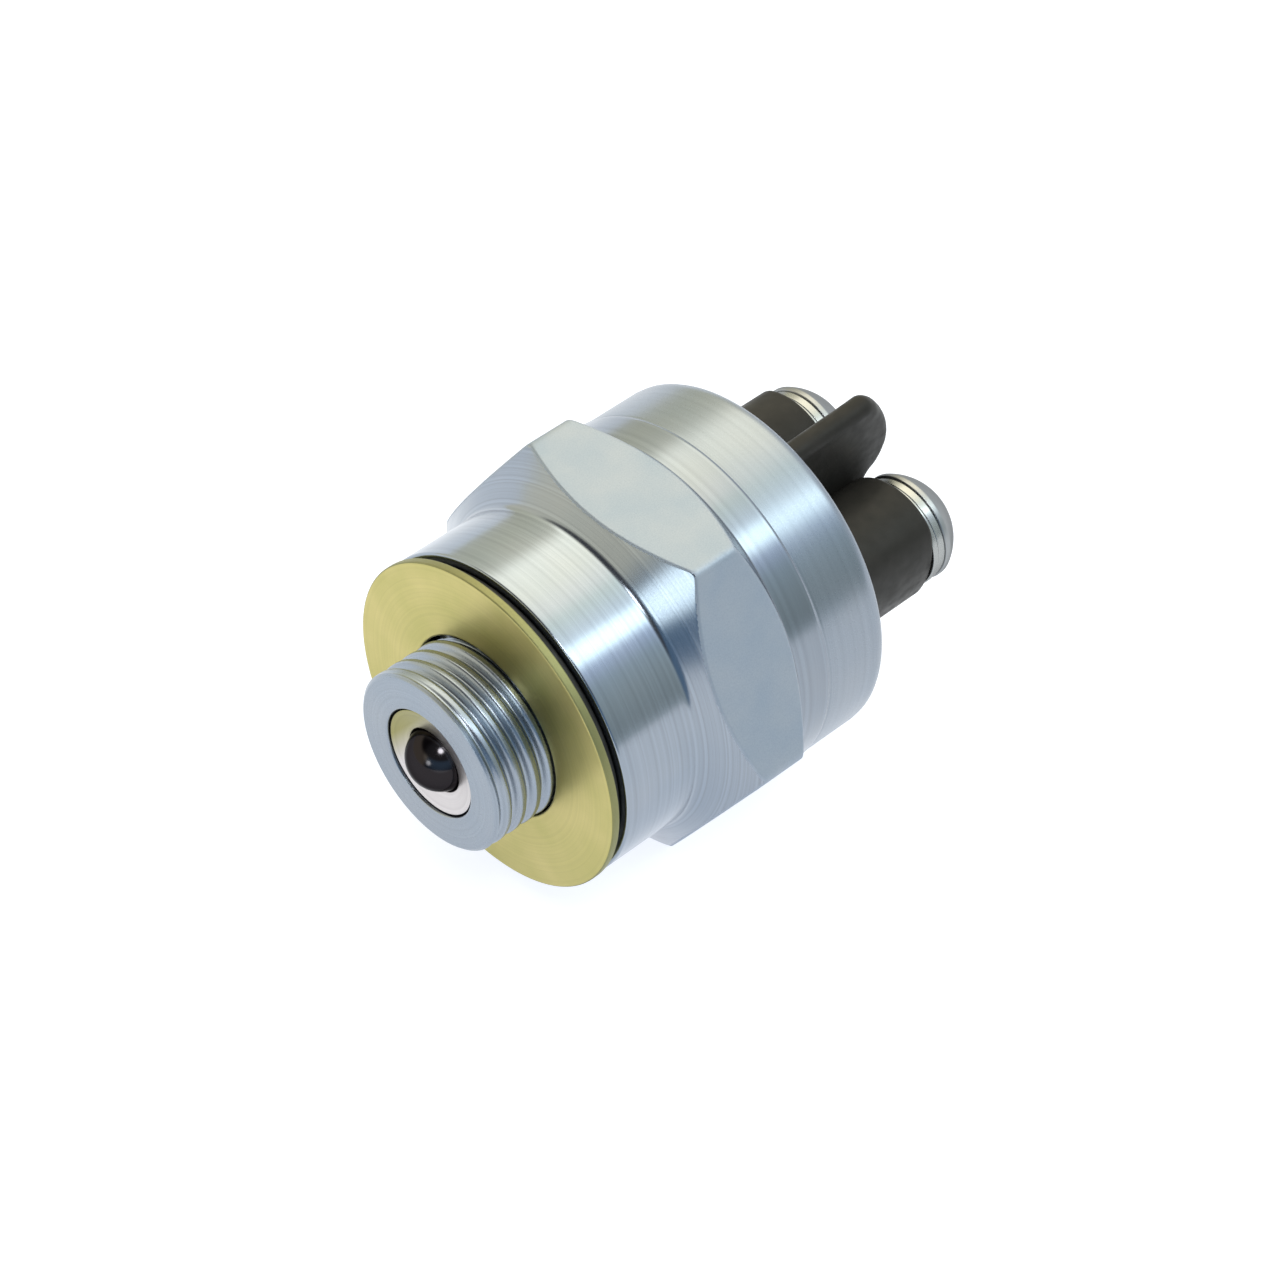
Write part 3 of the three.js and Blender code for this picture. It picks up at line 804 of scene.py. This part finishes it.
def build_base():
    """The base, drawn with its terminals level and then turned to its own angle."""
    outline = [
        (BASE_FRONT, 0),
        (BASE_FRONT, FLANGE_R),
        (FLANGE_END, FLANGE_R),
        (FLANGE_END, PLATE_R, 0.1),
        (PLATE_END, PLATE_R, 0.25),
        (PLATE_END, 0),
    ]
    plate = revolve(rounded(outline, 0.2, closed=False), 128, closed=False)
    tools = [("UNION", boss(1)), ("UNION", boss(-1)), ("UNION", barrier())]
    for side in (1, -1):
        at = (side * TERMINAL_Y, 0)
        tools.append(bore(BASE_FRONT - 1, STUD_BORE_END, STUD_BORE_R, at))
        tools.append(bore(COLLAR_BORE_START, BOSS_END + 1, COLLAR_BORE_R, at))
    tools.append(bore(BASE_FRONT - 1, SPRING_POCKET_END, SPRING_POCKET_R))
    mesh = combined("moulded_base", plate, tools, crease=40)
    mesh.transform(Matrix.Rotation(BASE_TURN, 4, "X"))
    return mesh


add_piece("moulded_base", build_base(), "terminal_base", "black_phenolic", PHENOLIC)


# ---------------------------------------------------------------- terminals

HEAD_R, HEAD_HEIGHT, HEAD_SIDE = 4.75, 3.5, 0.5
SCREW_R, SCREW_PITCH, SCREW_DEPTH = 2.45, 0.8, 0.45
SCREW_CHAMFER = 0.4
RECESS_SPAN, RECESS_WIDTH, RECESS_DEPTH = 5.2, 1.3, 2.2


def build_stud(name, node, at):
    """A stud through the base: a flat head in front, and a thick rear part with a tapped hole."""
    front, back = span(node)
    head_end, head_r = front + 0.95, 2.7
    shank_r = STUD_BORE_R - 0.05
    collar_start, collar_r = COLLAR_BORE_START + 0.05, COLLAR_BORE_R - 0.05
    hole_end, hole_r = 27.0, 2.6
    outline = [
        (front, 0),
        (front, head_r, 0.15),
        (head_end, head_r, 0.15),
        (head_end, shank_r),
        (collar_start, shank_r),
        (collar_start, collar_r, 0.2),
        (back, collar_r, 0.2),
        (back, hole_r, 0.25),
        (hole_end, hole_r),
        (hole_end, 0),
    ]
    outline = rounded(outline, 0.08, closed=False)
    return make_mesh(name, *revolve(outline, 64, closed=False, at=at))


def build_tip(name, node, at):
    """A silver contact rivet with a slightly domed face."""
    front, back = span(node)
    dome_r, radius = 6.0, 1.7
    rim = math.asin(radius / dome_r)
    dome = arc((front + dome_r, 0), dome_r, math.pi, math.pi - rim, 7)
    outline = np.array([*dome, (back, radius), (back, 0)])
    return make_mesh(name, *revolve(outline, 64, closed=False, at=at))


def build_lock_washer(name, node, at):
    """A split spring washer: a square wire wound once, its two ends a little apart."""
    start, end = span(node)
    inner, outer, edge = 2.7, 4.6, 0.12
    half_gap = math.asin(0.45 / inner)
    thickness = end - start
    half_width = (outer - inner) / 2
    corners = [(-half_width, -thickness / 2), (half_width, -thickness / 2),
               (half_width, thickness / 2), (-half_width, thickness / 2)]
    section = rounded(corners, edge)
    angles = np.linspace(BASE_TURN + half_gap, BASE_TURN + TURN - half_gap, 97)
    mean = (inner + outer) / 2
    path = [((start + end) / 2, mean * math.cos(a), mean * math.sin(a)) for a in angles]
    tangents = [(0, -math.sin(a), math.cos(a)) for a in angles]
    points, faces = swept(np.array(path), section, np.array(tangents))
    return make_mesh(name, points + [0, *at], faces)


def screw_radius(x, radius, angle):
    """The shank carries a right-hand thread; the head is left as turned."""
    head_front = span("terminal_screw_left")[1] - HEAD_HEIGHT
    shank = (radius > SCREW_R - 0.5) & (radius < SCREW_R + 0.1) & (x < head_front - 0.2)
    run_out = smooth_step((head_front - 0.6 - x) / 0.4)
    cut = thread(x, angle, SCREW_R, SCREW_PITCH, SCREW_DEPTH * run_out, 0.0)
    return np.where(shank, np.minimum(radius, cut), radius)


def recess_tool(top):
    """A cross with tapered arms, as a screwdriver leaves it."""
    points = []
    for x, share in ((top + 0.5, 1.1), (top - RECESS_DEPTH, 0.35)):
        wide, narrow = RECESS_SPAN / 2 * share, RECESS_WIDTH / 2 * min(share, 0.8)
        arm = [(wide, -narrow), (wide, narrow), (narrow, narrow)]
        for quarter in range(4):
            c, s = round(math.cos(quarter * math.pi / 2)), round(math.sin(quarter * math.pi / 2))
            points += [(x, y * c - z * s, y * s + z * c) for y, z in arm]
    count = len(points) // 2
    faces = [tuple(reversed(face)) for face in grid_faces(2, count, closed=False)]
    faces.append(tuple(range(count)))
    faces.append(tuple(reversed(range(count, 2 * count))))
    return np.array(points), faces


def build_screw(name, node, at):
    """A domed screw with a cross recess, drawn on the axis and then moved to its terminal."""
    bottom, top = span(node)
    head_front = top - HEAD_HEIGHT
    dome_height = HEAD_HEIGHT - HEAD_SIDE
    dome_r = (HEAD_R ** 2 + dome_height ** 2) / (2 * dome_height)
    rim = math.asin(HEAD_R / dome_r)
    dome = [(top - dome_r * (1 - math.cos(a)), dome_r * math.sin(a), 0)
            for a in np.linspace(rim, 0, 25)]
    dome[0] = (*dome[0][:2], 0.25)
    outline = rounded([
        (bottom, 0),
        (bottom, SCREW_R - SCREW_CHAMFER, 0),
        (bottom + SCREW_CHAMFER, SCREW_R, 0),
        (head_front, SCREW_R, 0.1),
        (head_front, HEAD_R, 0.15),
        *dome,
    ], 0, closed=False)
    on_head = outline[:, 0] > head_front - 0.3
    shank = refined(outline[~on_head], 0.08)
    shank_points = np.argmax(shank[:, 0]) + 1
    outline = np.vstack([shank[:shank_points], outline[on_head]])
    solid = revolve(outline, 96, closed=False, radius_at=screw_radius)
    mesh = combined(name, solid, [("DIFFERENCE", recess_tool(top))], crease=32)
    place = Matrix.Translation((0, at[0] * MM, at[1] * MM))
    mesh.transform(place @ Matrix.Rotation(BASE_TURN, 4, "X"))
    return mesh


for side in ("left", "right"):
    at = centre(f"clamp_washer_{side}")
    nickel = metal(f"bright_nickel_{side}", ((0.34, 0.35, 0.35), (0.38, 0.39, 0.38)), 0.26,
                   lines=0.2, line_scale=3.0, shade=0.04, grain=0.4, at=at, edge=0.5)
    dome_nickel = metal(f"dome_nickel_{side}", ((0.31, 0.32, 0.33), (0.35, 0.36, 0.36)), 0.36,
                        lines=0.2, line_scale=3.0, shade=0.04, grain=0.4, at=at, edge=0.4)
    brass = metal(f"brass_{side}", ((0.70, 0.52, 0.22), (0.64, 0.46, 0.18)), 0.3,
                  lines=0.6, shade=0.1, at=at)
    silver = metal(f"silver_{side}", ((0.85, 0.84, 0.82), (0.78, 0.77, 0.76)), 0.22,
                   lines=0.4, grain=0.4, at=at)
    parts = (
        ("stud", "contact_stud", build_stud, "brass", brass),
        ("tip", "contact_tip", build_tip, "silver", silver),
        ("spring_washer", "lock_washer", build_lock_washer, "nickel_plated_steel", nickel),
        ("domed_screw", "terminal_screw", build_screw, "nickel_plated_steel", dome_nickel),
    )
    for word, node_word, build, slot, material in parts:
        name, node = f"{word}_{side}", f"{node_word}_{side}"
        add_piece(name, build(name, node, at), node, slot, material)
    flat_ring(f"plain_washer_{side}", f"clamp_washer_{side}", "nickel_plated_steel", [nickel],
              inner=2.7, outer=4.7, edge=0.12, facets=96, at=at)


# ---------------------------------------------------------------- studio

FLOOR_LEVEL, FLOOR_HALF = -FLAT_R * MM, 3.0
FLOOR_COLOUR = (0.35, 0.35, 0.35, 1)
FLOOR_GLOW = (0.82, 0.85, 0.92, 1)    # the floor is a light table
CAMERA_AZIMUTH = math.radians(-47.11)
CAMERA_ELEVATION = math.radians(47.0)
CAMERA_ROLL = math.radians(4.65)
CAMERA_DISTANCE = 301.46 * MM
CAMERA_AIM = Vector((10.66, -4.18, 4.63)) * MM
CAMERA_LENS = 109.285

# Colours of the studio round the switch's axis: degrees from overhead towards -Y, then the
# red, green and blue light.
PANELS = (
    (-180, (0.79, 0.84, 0.90)),
    (-130, (0.81, 0.78, 0.71)),
    (-100, (0.96, 0.92, 0.72)),
    (-72, (1.24, 1.18, 0.88)),
    (-54, (1.57, 1.46, 1.11)),
    (-44, (3.05, 2.83, 2.26)),
    (-22, (2.82, 2.61, 2.04)),
    (-6, (2.54, 2.38, 2.01)),
    (3, (1.90, 2.00, 1.70)),
    (18, (1.87, 1.99, 2.02)),
    (24, (4.15, 4.65, 4.55)),
    (31, (4.15, 4.65, 4.55)),
    (37, (1.14, 1.27, 1.58)),
    (50, (0.75, 0.88, 0.92)),
    (64, (0.64, 0.73, 0.73)),
    (82, (0.51, 0.58, 0.58)),
    (105, (0.68, 0.81, 0.90)),
    (180, (0.79, 0.84, 0.90)),
)
POLE_COLOUR = (0.90, 0.95, 1.00)         # beyond the terminals
FRONT_LEFT_COLOUR = (1.38, 1.28, 1.00)   # in front of the nose, near the floor, towards +Y
FRONT_RIGHT_COLOUR = (0.20, 0.32, 0.47)  # the same, towards -Y
FRONT_HIGH_COLOUR = (0.10, 0.10, 0.11)   # in front of the nose, higher up
# Windows in the front half: direction, angular radius in degrees, colour.
WINDOWS = (
    ((-0.29, -0.32, 0.90), 8.0, (11.0, 11.2, 11.4)),
    ((-0.95, -0.12, 0.27), 7.0, (4.4, 4.8, 4.8)),
)


def build_world():
    """Long soft panels beside and over the switch, as a procedural sky."""
    world = bpy.data.worlds.new("studio")
    sky = Nodes(world)
    peak = max(max(colour) for _, colour in PANELS)

    def level(colour):
        return tuple(value / peak for value in colour)

    place = sky.tree.nodes.new("ShaderNodeTexCoord").outputs["Generated"]
    split = sky.tree.nodes.new("ShaderNodeSeparateXYZ")
    sky.join(place, split.inputs[0])
    side = sky.math("MULTIPLY", split.outputs["Y"], -1.0)
    angle = sky.math("ARCTAN2", side, split.outputs["Z"])
    ramp = sky.tree.nodes.new("ShaderNodeValToRGB")
    sky.join(sky.spread(angle, 0.0, 1.0, -math.pi, math.pi), ramp.inputs[0])
    stops = ramp.color_ramp.elements
    while len(stops) < len(PANELS):
        stops.new(0.5)
    for stop, (degrees, colour) in zip(stops, PANELS):
        stop.position = (degrees + 180) / 360
        stop.color = (*level(colour), 1)

    at_pole = sky.spread(split.outputs["X"], 0.0, 1.0, 0.62, 0.92, "SMOOTHSTEP")
    rear = sky.mix(at_pole, ramp.outputs["Color"], level(POLE_COLOUR))
    left = sky.spread(split.outputs["Y"], 0.0, 1.0, -0.08, 0.2, "SMOOTHSTEP")
    low = sky.mix(left, level(FRONT_RIGHT_COLOUR), level(FRONT_LEFT_COLOUR))
    high = sky.spread(split.outputs["Z"], 0.0, 1.0, 0.42, 0.6, "SMOOTHSTEP")
    front = sky.mix(high, low, level(FRONT_HIGH_COLOUR))
    is_rear = sky.spread(split.outputs["X"], 0.0, 1.0, -0.25, 0.2, "SMOOTHSTEP")
    colour = sky.mix(is_rear, front, rear)
    for direction, radius, light in WINDOWS:
        towards = tuple(Vector(direction).normalized())
        closeness = sky.vector("DOT_PRODUCT", place, towards, "Value")
        outer = math.cos(math.radians(radius * 1.25))
        inner = math.cos(math.radians(radius * 0.75))
        colour = sky.mix(sky.spread(closeness, 0.0, 1.0, outer, inner), colour, level(light))
    background = sky.tree.nodes["Background"]
    sky.join(colour, background.inputs["Color"])
    background.inputs["Strength"].default_value = peak
    bpy.context.scene.world = world


def build_floor():
    half = FLOOR_HALF
    corners = [(-half, -half), (half, -half), (half, half), (-half, half)]
    mesh = bpy.data.meshes.new("floor")
    mesh.from_pydata([(x, y, FLOOR_LEVEL) for x, y in corners], [], [(0, 1, 2, 3)])
    shader = Shader("pale_floor")
    shader.finish(Base_Color=FLOOR_COLOUR, Roughness=0.9, Specular_IOR_Level=0.1,
                  Emission_Color=FLOOR_GLOW, Emission_Strength=1.0)
    mesh.materials.append(shader.material)
    floor = bpy.data.objects.new("floor", mesh)
    bpy.context.scene.collection.objects.link(floor)


def build_camera():
    data = bpy.data.cameras.new("camera")
    data.lens = CAMERA_LENS
    data.sensor_width = 36
    data.clip_start = 0.01
    camera = bpy.data.objects.new("camera", data)
    back = Vector((
        math.sin(CAMERA_AZIMUTH) * math.cos(CAMERA_ELEVATION),
        -math.cos(CAMERA_AZIMUTH) * math.cos(CAMERA_ELEVATION),
        math.sin(CAMERA_ELEVATION),
    ))
    look = (-back).to_track_quat("-Z", "Y").to_matrix().to_4x4()
    place = Matrix.Translation(CAMERA_AIM + back * CAMERA_DISTANCE)
    camera.matrix_world = place @ look @ Matrix.Rotation(CAMERA_ROLL, 4, "Z")
    bpy.context.scene.collection.objects.link(camera)
    bpy.context.scene.camera = camera


build_world()
build_floor()
build_camera()
bpy.context.scene.view_settings.view_transform = "Standard"
